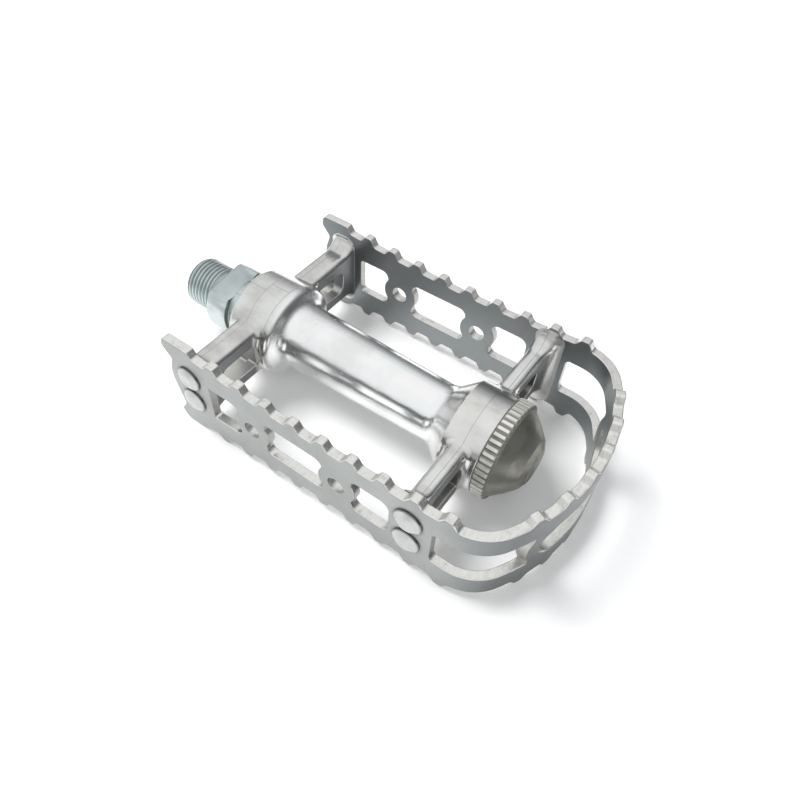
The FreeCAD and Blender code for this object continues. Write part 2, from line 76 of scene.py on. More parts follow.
Colour = Tuple[float, float, float, float]
Point = Tuple[float, float, float]
Pair = Tuple[float, float]
Span = Tuple[float, float, float, float]
Key = Union[int, str]


class Hand(Enum):
    """Which way the spindle's thread winds."""

    LEFT = -1.0
    RIGHT = 1.0


class Row(Enum):
    """The two rows of loose balls, by what their names start with."""

    INBOARD = "inboard_ball"
    OUTBOARD = "outboard_ball"


class Value:
    """A number on a node graph, with Python's arithmetic."""

    def __init__(self, graph: "Graph", socket: bpy.types.NodeSocket) -> None:
        """Wrap one output socket."""
        self.graph = graph
        self.socket = socket

    def _math(self, operation: str, *terms: "Number") -> "Value":
        """Add one Math node over the terms.

        Args:
            operation: name of the Math node's operation.
            terms: values or numbers for its sockets, in order.

        Returns:
            The node's result.
        """
        node = self.graph.node("ShaderNodeMath", {"operation": operation}, dict(enumerate(terms)))
        return Value(self.graph, node.outputs[0])

    def __add__(self, other: "Number") -> "Value":
        """Sum."""
        return self._math("ADD", self, other)

    __radd__ = __add__

    def __sub__(self, other: "Number") -> "Value":
        """Difference."""
        return self._math("SUBTRACT", self, other)

    def __rsub__(self, other: "Number") -> "Value":
        """Difference from a number."""
        return self._math("SUBTRACT", other, self)

    def __mul__(self, other: "Number") -> "Value":
        """Product."""
        return self._math("MULTIPLY", self, other)

    __rmul__ = __mul__

    def __truediv__(self, other: "Number") -> "Value":
        """Quotient."""
        return self._math("DIVIDE", self, other)

    def __pow__(self, other: "Number") -> "Value":
        """Power."""
        return self._math("POWER", self, other)

    def __abs__(self) -> "Value":
        """Size without sign."""
        return self._math("ABSOLUTE", self)

    def low(self, other: "Number") -> "Value":
        """Smaller of two."""
        return self._math("MINIMUM", self, other)

    def high(self, other: "Number") -> "Value":
        """Larger of two."""
        return self._math("MAXIMUM", self, other)

    def fraction(self) -> "Value":
        """Part after the point."""
        return self._math("FRACT", self)

    def sine(self) -> "Value":
        """Sine of an angle in radians."""
        return self._math("SINE", self)

    def cosine(self) -> "Value":
        """Cosine of an angle in radians."""
        return self._math("COSINE", self)

    def angle_to(self, other: "Number") -> "Value":
        """Angle whose opposite side is this and adjacent side the other."""
        return self._math("ARCTAN2", self, other)

    def length_with(self, other: "Value") -> "Value":
        """Length of the slope over two square sides."""
        return self._math("SQRT", self ** 2.0 + other ** 2.0)

    def ramp(self, start: float, end: float) -> "Value":
        """Smooth step.

        Args:
            start: value that gives 0.
            end: value that gives 1; it may be the smaller one.

        Returns:
            A number from 0 to 1.
        """
        settings = {"interpolation_type": "SMOOTHSTEP"}
        if start < end:
            node = self.graph.node("ShaderNodeMapRange", settings, {0: self, 1: start, 2: end})
            return Value(self.graph, node.outputs[0])
        node = self.graph.node("ShaderNodeMapRange", settings, {0: self, 1: end, 2: start})
        return 1 - Value(self.graph, node.outputs[0])

    def band(self, places: Span) -> "Value":
        """Smooth rise and fall.

        Args:
            places: where it leaves 0, where it is 1, where it leaves 1 and where it is 0 again.

        Returns:
            A number from 0 to 1.
        """
        rise, full, fade, end = places
        return self.ramp(rise, full) * self.ramp(end, fade)


Number = Union[Value, float]
Feed = Union[Value, bpy.types.NodeSocket, float, bool, Sequence[float], bpy.types.ID]


class Graph:
    """Adds nodes to one tree."""

    def __init__(self, tree: bpy.types.NodeTree) -> None:
        """Start on an emptied tree."""
        self.tree = tree
        tree.nodes.clear()

    def node(self, kind: str, settings: Mapping[str, object], inputs: Mapping[Key, Feed]) -> bpy.types.Node:
        """Add one node.

        Args:
            kind: the node's type.
            settings: its properties, set first.
            inputs: values or links for its sockets, by name or index.

        Returns:
            The new node.
        """
        made = self.tree.nodes.new(kind)
        for name, value in settings.items():
            setattr(made, name, value)
        for key, value in inputs.items():
            self.feed(made.inputs[key], value)
        return made

    def feed(self, socket: bpy.types.NodeSocket, value: Feed) -> None:
        """Link a value to a socket, or set the socket.

        Args:
            socket: an input socket.
            value: what it gets.
        """
        if isinstance(value, Value):
            self.tree.links.new(value.socket, socket)
        elif isinstance(value, bpy.types.NodeSocket):
            self.tree.links.new(value, socket)
        else:
            socket.default_value = value

    def split(self, vector: bpy.types.NodeSocket) -> Tuple[Value, Value, Value]:
        """Take a vector apart.

        Args:
            vector: an output socket.

        Returns:
            Its parts along X, Y and Z.
        """
        axes = self.node("ShaderNodeSeparateXYZ", {}, {0: vector})
        x, y, z = (Value(self, part) for part in axes.outputs)
        return x, y, z

    def mix(self, factor: Number, first: Feed, second: Feed) -> bpy.types.NodeSocket:
        """Mix two colours.

        Args:
            factor: share of the second.
            first: colour or socket.
            second: colour or socket.

        Returns:
            The mixed colour.
        """
        node = self.node("ShaderNodeMix", {"data_type": "RGBA"}, {0: factor, 6: first, 7: second})
        return node.outputs[2]


@dataclass(frozen=True)
class Noise:
    """A soft noise pattern.

    Attributes:
        scale: repeats per metre.
        detail: octaves.
        stretch: scale along each axis.
        edges: noise values that give 0 and 1, where the noise is cut to a mask.
        fineness: how much each finer octave counts.
    """

    scale: float
    detail: float
    stretch: Point = (1.0, 1.0, 1.0)
    edges: Optional[Pair] = None
    fineness: float = 0.55


@dataclass(frozen=True)
class Scratches:
    """A pattern of thin broken lines.

    Attributes:
        scale: cells per metre.
        stretch: scale along each axis, small along the lines.
        width: line width as a share of a cell.
        turn: how the lines are turned, in radians.
        core: share of the width that is at full strength.
        break_scale: scale of the gaps, as a share of the cells' scale.
        break_edges: noise values between which a line fades in.
    """

    scale: float
    stretch: Point
    width: float
    turn: Point
    core: float = 0.3
    break_scale: float = 0.35
    break_edges: Pair = (0.52, 0.62)


class Surface(Graph):
    """A material's graph, with the patterns that the finishes share."""

    def __init__(self, name: str) -> None:
        """Make a material of that name with one shader."""
        self.material = bpy.data.materials.new(name)
        self.material.use_nodes = True
        super().__init__(self.material.node_tree)
        self.shader = self.node("ShaderNodeBsdfPrincipled", {}, {})
        self.node("ShaderNodeOutputMaterial", {}, {0: self.shader.outputs[0]})
        self.place = self.node("ShaderNodeTexCoord", {}, {}).outputs["Object"]
        self.x, self.y, self.z = self.split(self.place)
        facing = self.node("ShaderNodeTexCoord", {}, {}).outputs["Normal"]
        self.nx, self.ny, self.nz = self.split(facing)

    def noise(self, pattern: Noise) -> Value:
        """Soft noise on the piece's own place.

        Args:
            pattern: how fine and how stretched it is.

        Returns:
            Noise about 0.5, or a mask from 0 to 1 where the pattern has edges.
        """
        mapped = self.node("ShaderNodeMapping", {}, {"Vector": self.place, "Scale": pattern.stretch})
        inputs = {
            "Vector": mapped.outputs[0],
            "Scale": pattern.scale,
            "Detail": pattern.detail,
            "Roughness": pattern.fineness,
        }
        cloud = Value(self, self.node("ShaderNodeTexNoise", {}, inputs).outputs[0])
        return cloud.ramp(*pattern.edges) if pattern.edges else cloud

    def scratches(self, pattern: Scratches) -> Value:
        """Thin broken lines on the piece's own place.

        Args:
            pattern: how fine, how wide and how turned they are.

        Returns:
            1 on a line and 0 off it.
        """
        inputs = {"Vector": self.place, "Scale": pattern.stretch, "Rotation": pattern.turn}
        mapped = self.node("ShaderNodeMapping", {}, inputs)
        settings = {"feature": "DISTANCE_TO_EDGE"}
        inputs = {"Vector": mapped.outputs[0], "Scale": pattern.scale, "Randomness": 1.0}
        cells = Value(self, self.node("ShaderNodeTexVoronoi", settings, inputs).outputs[0])
        breaks = self.noise(Noise(pattern.scale * pattern.break_scale, 2.0, edges=pattern.break_edges))
        return cells.ramp(pattern.width, pattern.width * pattern.core) * breaks

    def from_axis(self) -> Value:
        """Distance from the spindle's axis."""
        return self.y.length_with(self.z)

    def from_rivet(self) -> Value:
        """Distance from the nearest rivet's axis."""
        aside = abs(self.x - RIVET_X[0]).low(abs(self.x - RIVET_X[1]))
        above = abs(self.z - RIVET_Z[0]).low(abs(self.z - RIVET_Z[1]))
        return aside.length_with(above)

    def finish(self, colour: Feed, roughness: Number, height: Number, depth: float) -> bpy.types.Material:
        """Close the graph on its shader.

        Args:
            colour: the base colour.
            roughness: the roughness.
            height: relief, 0 to 1.
            depth: how deep the relief is.

        Returns:
            The material.
        """
        inputs = {"Height": height, "Distance": depth, "Strength": 1.0}
        bump = self.node("ShaderNodeBump", {}, inputs)
        self.feed(self.shader.inputs["Base Color"], colour)
        self.feed(self.shader.inputs["Roughness"], roughness)
        self.feed(self.shader.inputs["Metallic"], 1.0)
        self.feed(self.shader.inputs["Normal"], bump.outputs[0])
        return self.material


@dataclass(frozen=True)
class SatinBand:
    """Satin anodised band: smooth rolled faces, paler punched edges, with painted shade on the loop end,
    the inside faces and the window walls, and a painted contact shadow round each rivet.

    The band's middle line bends round corner and end_x, the axes of its two kinds of arc.
    A pair gives where a mask is 0 and where it is 1.
    """

    name: str = "cage_satin"
    face: Colour = (0.387, 0.40, 0.393, 1.0)
    cloud: Colour = (0.31, 0.322, 0.317, 1.0)
    # Painted shade: tone that darkens the band round the loop end.
    bend_shade: Colour = (0.16, 0.17, 0.173, 1.0)
    # Painted shade: tone of the faces that look in at the body.
    inside_shade: Colour = (0.275, 0.293, 0.298, 1.0)
    cut: Colour = (0.82, 0.81, 0.78, 1.0)
    torn: Colour = (0.56, 0.545, 0.51, 1.0)
    # Painted shade: tone of the upright walls of the windows and holes.
    punched: Colour = (0.36, 0.358, 0.345, 1.0)
    # Painted contact shadow: tone of a dark ring on the plate round each rivet head.
    shadow_and_grime: Colour = (0.20, 0.198, 0.19, 1.0)
    face_roughness: float = 0.36
    cut_roughness: float = 0.31
    relief: float = 0.05 * MM
    rolled: Noise = Noise(900.0, 3.0, (0.12, 1.0, 1.6))
    clouded: Noise = Noise(55.0, 4.0)
    sheared: Noise = Noise(2600.0, 2.0, (1.0, 0.16, 1.0))
    ragged: Noise = Noise(620.0, 4.0, edges=(0.50, 0.80))
    nicked: Scratches = Scratches(140.0, (1.0, 1.0, 0.25), 0.016, (0.0, 0.5, 0.2))
    corner: Pair = (95.5 * MM, 19.7 * MM)
    end_x: float = 63.0 * MM
    # Where the painted shade of the loop end begins and where it is full.
    bend_shade_x: Pair = (92.0 * MM, 108.0 * MM)
    bend_start_x: Pair = (95.2 * MM, 95.8 * MM)
    end_turn: Pair = (0.532, 0.512)
    square_on: Pair = (0.86, 0.72)
    inwards: Pair = (0.002, -0.004)
    window_z: Pair = (7.2 * MM, 6.6 * MM)
    upright: Pair = (0.75, 0.4)
    # Radii between which the painted contact shadow round each rivet fades in.
    shadow_and_grime_r: Pair = (4.7 * MM, 3.8 * MM)

    def material(self) -> bpy.types.Material:
        """Build the node material."""
        s = Surface(self.name)
        cut = self._cut(s)
        inside = self._shaded_inside(s)
        grain = s.noise(self.rolled)
        clouds = s.noise(self.clouded)
        shear = s.noise(self.sheared)
        tear = s.noise(self.ragged)
        nicks = s.scratches(self.nicked) * (1 - cut)
        face = s.mix((clouds - 0.35) * 2.2 + grain * 0.3, self.face, self.cloud)
        # Painted shade, darkening the band towards and round the loop end.
        face = s.mix(s.x.ramp(*self.bend_shade_x) * (0.65 + clouds * 0.4), face, self.bend_shade)
        # Painted shade on the faces that look in at the body.
        face = s.mix(inside, face, self.inside_shade)
        # Painted contact shadow: a dark ring on the plate round each rivet head.
        rivet_shadow_ring = s.from_rivet().ramp(*self.shadow_and_grime_r) * (1 - inside)
        face = s.mix(rivet_shadow_ring * 0.55, face, self.shadow_and_grime)
        edge = s.mix(tear * 0.7 + (shear - 0.35) * 0.9, self.cut, self.torn)
        # Painted shade on the upright walls of the windows and holes.
        edge = s.mix(self._window(s) * 0.8, edge, self.punched)
        smooth = self.face_roughness + (clouds - 0.5) * 0.16 + (grain - 0.5) * 0.10 + nicks * 0.12
        rough = self.cut_roughness + (shear - 0.5) * 0.3 + tear * 0.12
        roughness = smooth * (1 - cut) + rough * cut
        height = cut * (shear * 0.6 + (1 - tear) * 0.4) + (1 - cut) * (grain * 0.12 - nicks * 0.2)
        return s.finish(s.mix(cut, face, edge), roughness, height, self.relief)

    def _shaded_inside(self, s: Surface) -> Value:
        """Mask of the faces that look in at the body, which get painted shade."""
        outwards = s.nx * (s.x - self.end_x).high(0.0) + s.ny * s.y
        return outwards.ramp(*self.inwards)

    def _window(self, s: Surface) -> Value:
        """Mask of the upright walls of the windows and holes, which get painted shade."""
        return abs(s.z).ramp(*self.window_z) * abs(s.nz).ramp(*self.upright)

    def _cut(self, s: Surface) -> Value:
        """Mask of the punched edges: 0 where the surface faces across the band.

        Args:
            s: the material's graph.

        Returns:
            The mask.
        """
        side = abs(s.y)
        out_y = s.ny * s.y / side.high(TINY)
        end_x = s.x - self.end_x
        from_end = end_x.length_with(side)
        corner_x = s.x - self.corner[0]
        corner_y = side - self.corner[1]
        from_corner = corner_x.length_with(corner_y).high(TINY)
        plate = abs(out_y)
        bend = abs(s.nx * corner_x / from_corner + out_y * corner_y / from_corner)
        end = abs(s.nx * end_x / from_end + out_y * side / from_end)
        on_end = (side / from_end).ramp(*self.end_turn)
        on_bend = s.x.ramp(*self.bend_start_x)
        across = plate * (1 - on_bend) + on_bend * (bend * (1 - on_end) + end * on_end)
        return across.ramp(*self.square_on)


@dataclass(frozen=True)
class PolishedCasting:
    """Cast aluminium, buffed on the barrel, satin on flanges and arms and rough in its hollows, with
    painted shade on the hollows' upright walls and the arms' sides and painted light on the hollows' level
    faces.

    A pair gives where a mask is 0 and where it is 1.
    """

    name: str = "body_polished"
    bright: Colour = (0.91, 0.91, 0.905, 1.0)
    haze: Colour = (0.77, 0.77, 0.76, 1.0)
    satin: Colour = (0.74, 0.735, 0.717, 1.0)
    # Painted shade: dark tones of the hollows' upright walls and of the arms' sides.
    shaded_cast: Colour = (0.22, 0.222, 0.23, 1.0)
    shaded_skin: Colour = (0.33, 0.33, 0.335, 1.0)
    # Painted light: pale tones of the level faces in the hollows.
    lit_sand: Colour = (0.84, 0.825, 0.78, 1.0)
    lit_dust: Colour = (0.58, 0.565, 0.53, 1.0)
    tarnish: Colour = (0.38, 0.367, 0.345, 1.0)
    line: Colour = (0.34, 0.335, 0.325, 1.0)
    roughness: float = 0.19
    cast_roughness: float = 0.34
    relief: float = 0.10 * MM
    hazed: Noise = Noise(70.0, 4.0, edges=(0.42, 0.72))
    buffed: Noise = Noise(700.0, 2.0, (0.08, 1.0, 1.0))
    rippled: Noise = Noise(120.0, 2.0)
    gritty: Noise = Noise(2400.0, 3.0)
    nicked: Noise = Noise(420.0, 1.0, edges=(0.66, 0.80))
    nick_patches: Noise = Noise(60.0, 1.0, edges=(0.5, 0.6))
    smeared: Noise = Noise(85.0, 5.0, (0.6, 1.0, 1.0), (0.40, 0.74))
    scratched: Scratches = Scratches(260.0, (0.3, 1.0, 1.0), 0.012, (0.3, 0.2, 0.5))
    inboard_x: Pair = (26.5 * MM, 24.0 * MM)
    outboard_x: Pair = (76.5 * MM, 79.5 * MM)
    flank_y: Pair = (12.9 * MM, 14.4 * MM)
    flank_facing: Pair = (0.72, 0.92)
    level_facing: Pair = (0.3, 0.7)
    pocket_y: Span = (13.0 * MM, 13.4 * MM, 25.5 * MM, 26.0 * MM)
    hollow_x: Span = (14.6 * MM, 15.0 * MM, 19.2 * MM, 19.5 * MM)
    hollow_z: Pair = (5.6 * MM, 5.3 * MM)
    window_z: Span = (-4.2 * MM, -3.8 * MM, 3.1 * MM, 3.5 * MM)
    inboard_window_x: Span = (19.0 * MM, 19.4 * MM, 22.0 * MM, 22.3 * MM)
    outboard_window_x: Span = (84.2 * MM, 84.4 * MM, 86.6 * MM, 86.9 * MM)
    seams: Point = (17.9 * MM, 23.9 * MM, 85.1 * MM)
    seam_width: Pair = (0.16 * MM, 0.05 * MM)
    seam_facing: Pair = (0.6, 0.4)
    joints: Pair = (-2.2 * MM, 0.3 * MM)
    joint_width: Pair = (0.15 * MM, 0.05 * MM)
    joint_shift_x: Pair = (seams[0] - 0.1 * MM, seams[0] + 0.1 * MM)
    joint_end_x: Pair = (seams[1], seams[1] - 0.2 * MM)
    rim_r: Pair = (12.2 * MM, 12.6 * MM)

    def material(self) -> bpy.types.Material:
        """Build the node material."""
        s = Surface(self.name)
        hollow = self._hollow(s)
        pocket = hollow.high(self._shaded_flank(s))
        satin = self._satin(s)
        seam = self._seam(s)
        haze = s.noise(self.hazed)
        buff = s.noise(self.buffed)
        grit = s.noise(self.gritty)
        smear = s.noise(self.smeared)
        nicks = s.noise(self.nicked) * s.noise(self.nick_patches)
        marks = s.scratches(self.scratched) * (1 - pocket)
        polished = s.mix(haze * 0.7 + nicks * 0.5, self.bright, self.haze)
        brushed = s.mix(haze * 0.5 + (buff - 0.4) * 0.6, self.satin, self.haze)
        brushed = s.mix(smear * 0.75, brushed, self.tarnish)
        colour = s.mix(seam * 0.4, s.mix(satin, polished, brushed), self.line)
        # Painted light on level faces in the hollows; painted shade on their upright walls and on the arms'
        # sides.
        level = abs(s.nz).ramp(*self.level_facing) * hollow
        flank = s.mix(grit, self.shaded_cast, self.shaded_skin)
        lit_and_shaded_cast = s.mix(level, flank, s.mix(grit, self.lit_sand, self.lit_dust))
        colour = s.mix(pocket, colour, lit_and_shaded_cast)
        smooth = self.roughness + haze * 0.08 + (buff - 0.5) * 0.10 + marks * 0.10 - satin * smear * 0.05
        roughness = smooth * (1 - pocket) + (self.cast_roughness + grit * 0.2) * pocket
        height = s.noise(self.rippled) * (0.5 + satin * 0.9) + buff * 0.03 + grit * 0.12 * pocket
        height = height - marks * 0.02 - nicks * 0.15 - seam * 0.28
        return s.finish(colour, roughness, height, self.relief)

    def _shaded_flank(self, s: Surface) -> Value:
        """Mask of the arms' sides, which get painted shade."""
        return abs(s.y).ramp(*self.flank_y) * abs(s.nx).ramp(*self.flank_facing)

    def _satin(self, s: Surface) -> Value:
        """Mask of the flanges and arms, which the buffing wheel reaches less."""
        return s.x.ramp(*self.inboard_x) + s.x.ramp(*self.outboard_x)

    def _hollow(self, s: Surface) -> Value:
        """Mask of the hollows in the arms.

        Args:
            s: the material's graph.

        Returns:
            The mask.
        """
        hollow = s.x.band(self.hollow_x) * abs(s.z).ramp(*self.hollow_z)
        windows = s.x.band(self.inboard_window_x) + s.x.band(self.outboard_window_x)
        return abs(s.y).band(self.pocket_y) * (hollow + windows * s.z.band(self.window_z)).low(1.0)

    def _seam(self, s: Surface) -> Value:
        """Mask of the mould's parting lines: round the flanges, along the arms and across the inboard rim.

        Args:
            s: the material's graph.

        Returns:
            The mask.
        """
        first, second, third = (abs(s.x - at).ramp(*self.seam_width) for at in self.seams)
        left, right = (abs(s.y - at).ramp(*self.joint_width) for at in self.joints)
        past = s.x.ramp(*self.joint_shift_x)
        on_rim = s.from_axis().ramp(*self.rim_r) * s.x.ramp(*self.joint_end_x)
        across = (left * (1 - past) + right * past) * on_rim
        return ((first + second + third) * abs(s.nx).ramp(*self.seam_facing)).high(across)


@dataclass(frozen=True)
class ZincPlate:
    """Bluish zinc plate over turned steel, with painted shade in the thread's root where it has a thread.
    """

    name: str = "spindle_zinc"
    plate: Colour = (0.61, 0.674, 0.67, 1.0)
    dull: Colour = (0.44, 0.487, 0.485, 1.0)
    # Painted shade: tone of the thread's root.
    root: Colour = (0.35, 0.388, 0.39, 1.0)
    roughness: float = 0.30
    relief: float = 0.03 * MM
    blotched: Noise = Noise(160.0, 4.0, edges=(0.4, 0.75))
    turned: Noise = Noise(3000.0, 2.0, (1.0, 0.06, 0.06))
    specked: Noise = Noise(1800.0, 2.0, edges=(0.62, 0.72))
    root_r: float = 0.0
    crest_r: float = 0.0
    thread_x: Pair = (-0.2 * MM, -0.4 * MM)

    def material(self) -> bpy.types.Material:
        """Build the node material."""
        s = Surface(self.name)
        blotch = s.noise(self.blotched)
        rings = s.noise(self.turned)
        specks = s.noise(self.specked)
        colour = s.mix(blotch * 0.55 + specks * 0.2, self.plate, self.dull)
        if self.crest_r > self.root_r:
            # Painted shade darkens the thread towards its root.
            root_shade = s.from_axis().ramp(self.crest_r, self.root_r) * s.x.ramp(*self.thread_x)
            colour = s.mix(root_shade * 0.6, colour, self.root)
        roughness = self.roughness + blotch * 0.14 + (rings - 0.5) * 0.16
        return s.finish(colour, roughness, rings * 0.5 - specks * 0.4, self.relief)


@dataclass(frozen=True)
class NickelPlate:
    """Dull nickel plate with brown stains, turning rings and a worn knurl."""

    name: str = "cap_nickel"
    plate: Colour = (0.29, 0.284, 0.256, 1.0)
    stain: Colour = (0.13, 0.125, 0.108, 1.0)
    worn: Colour = (0.88, 0.865, 0.81, 1.0)
    roughness: float = 0.40
    relief: float = 0.07 * MM
    stained: Noise = Noise(150.0, 5.0, edges=(0.44, 0.70))
    turned: Noise = Noise(3400.0, 2.0, (1.0, 0.05, 0.05))
    pitted: Noise = Noise(1500.0, 2.0, edges=(0.66, 0.74))
    wavy: Noise = Noise(210.0, 2.0)
    groove_r: float = 12.75 * MM
    ridge_r: float = 13.05 * MM

    def material(self) -> bpy.types.Material:
        """Build the node material."""
        s = Surface(self.name)
        stain = s.noise(self.stained)
        rings = s.noise(self.turned)
        pits = s.noise(self.pitted)
        ridge = s.from_axis().ramp(self.groove_r, self.ridge_r)
        colour = s.mix(stain * 0.7 + pits * 0.3, self.plate, self.stain)
        colour = s.mix(ridge * (1 - stain * 0.3), colour, self.worn)
        roughness = self.roughness + stain * 0.16 + (rings - 0.5) * 0.12 + ridge * 0.08
        height = rings * 0.25 + s.noise(self.wavy) * 0.7 - pits * 0.4
        return s.finish(colour, roughness, height, self.relief)


@dataclass(frozen=True)
class RivetSteel:
    """Satin rivet heads with faint press marks and a dark rim that is a painted contact shadow."""

    name: str = "rivet_satin"
    steel: Colour = (0.53, 0.535, 0.525, 1.0)
    mark: Colour = (0.42, 0.425, 0.415, 1.0)
    # Painted contact shadow: dark tone at the edge of each head.
    rim: Colour = (0.15, 0.15, 0.145, 1.0)
    roughness: float = 0.26
    relief: float = 0.04 * MM
    blotched: Noise = Noise(300.0, 3.0, edges=(0.35, 0.80))
    pressed: Noise = Noise(1500.0, 2.0)
    rim_r: Pair = (3.25 * MM, 3.75 * MM)

    def material(self) -> bpy.types.Material:
        """Build the node material."""
        s = Surface(self.name)
        blotch = s.noise(self.blotched)
        press = s.noise(self.pressed)
        colour = s.mix(blotch * 0.6, self.steel, self.mark)
        # Painted contact shadow round the edge of each head.
        colour = s.mix(s.from_rivet().ramp(*self.rim_r) * 0.85, colour, self.rim)
        roughness = self.roughness + blotch * 0.12 + (press - 0.5) * 0.14
        return s.finish(colour, roughness, press * 0.4 + blotch * 0.4, self.relief)


@dataclass(frozen=True)
class GroundSteel:
    """Ground bearing steel under a film of grease."""

    name: str = "bearing_ground"
    steel: Colour = (0.56, 0.555, 0.55, 1.0)
    grease: Colour = (0.34, 0.29, 0.21, 1.0)
    roughness: float = 0.18
    film: float = 0.5
    relief: float = 0.02 * MM
    greasy: Noise = Noise(240.0, 3.0, edges=(0.4, 0.7))
    ground: Noise = Noise(3600.0, 2.0, (1.0, 0.05, 0.05))

    def material(self) -> bpy.types.Material:
        """Build the node material."""
        s = Surface(self.name)
        film = s.noise(self.greasy) * self.film
        rings = s.noise(self.ground)
        colour = s.mix(film, self.steel, self.grease)
        roughness = self.roughness + film * 0.2 + (rings - 0.5) * 0.08
        return s.finish(colour, roughness, rings * 0.3 + film * 0.5, self.relief)


Finish = Union[SatinBand, PolishedCasting, ZincPlate, NickelPlate, RivetSteel, GroundSteel]


def joined_copy(node: str) -> bmesh.types.BMesh:
    """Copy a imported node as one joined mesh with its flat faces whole.

    Args:
        node: the node's name.

    Returns:
        A bmesh of its own.
    """
    made = bmesh.new()
    made.from_mesh(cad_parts[node].data)
    bmesh.ops.remove_doubles(made, verts=made.verts, dist=JOIN_GAP)
    bmesh.ops.dissolve_limit(made, angle_limit=FLAT_TURN, verts=made.verts, edges=made.edges)
    return made


def new_piece(name: str, made: bmesh.types.BMesh) -> bpy.types.Object:
    """Turn a bmesh into a linked object.

    Args:
        name: the piece's name.
        made: its shape, which is used up.

    Returns:
        The object, at the origin.
    """
    made.verts.index_update()
    points = [v.co.copy() for v in made.verts]
    faces = [[v.index for v in f.verts] for f in made.faces]
    made.free()
    mesh = bpy.data.meshes.new(name)
    mesh.from_pydata(points, [], faces)
    mesh.validate()
    piece = bpy.data.objects.new(name, mesh)
    bpy.context.scene.collection.objects.link(piece)
    return piece


def settled_mesh(piece: bpy.types.Object) -> bpy.types.Mesh:
    """Copy a piece's mesh as its modifiers leave it.

    Args:
        piece: an object with live modifiers.

    Returns:
        A mesh of its own.
    """
    seen = piece.evaluated_get(bpy.context.evaluated_depsgraph_get())
    return bpy.data.meshes.new_from_object(seen)


def soften(piece: bpy.types.Object, width: float, segments: int, angle: float) -> None:
    """Round a piece's edges.

    Args:
        piece: the object.
        width: how far the rounding reaches.
        segments: facets across it.
        angle: smallest turn of an edge that is rounded, in degrees.
    """
    piece.data.shade_smooth()
    edge = piece.modifiers.new("edges", "BEVEL")
    edge.width = width
    edge.segments = segments
    edge.limit_method = "ANGLE"
    edge.angle_limit = math.radians(angle)
    edge.use_clamp_overlap = False
    edge.harden_normals = True
    mesh = settled_mesh(piece)
    piece.modifiers.clear()
    sharp = piece.data
    piece.data = mesh
    mesh.name = piece.name
    bpy.data.meshes.remove(sharp)


def dress(piece: bpy.types.Object, material: bpy.types.Material) -> None:
    """Give a piece one material.

    Args:
        piece: the object.
        material: what it gets.
    """
    if not piece.material_slots:
        piece.data.materials.append(material)
    for slot in piece.material_slots:
        slot.material = material


@dataclass
class PackedPiece:
    """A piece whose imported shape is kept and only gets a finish."""

    node: str
    finish: Finish

    def build(self) -> bpy.types.Object:
        """Dress the piece."""
        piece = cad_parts[self.node]
        dress(piece, self.finish.material())
        return piece


@dataclass
class Cage(PackedPiece):
    """The toothed band."""

    node: str = "cage"
    finish: Finish = SatinBand()


@dataclass
class Casting(PackedPiece):
    """The body with its barrel, flanges and arms."""

    node: str = "body"
    finish: Finish = PolishedCasting()


@dataclass
class Rivets(PackedPiece):
    """The eight rivets."""

    node: str = "cage_rivets"
    finish: Finish = RivetSteel()


@dataclass
class DustCap(PackedPiece):
    """The knurled cap over the outer bearing."""

    node: str = "dust_cap"
    finish: Finish = NickelPlate()


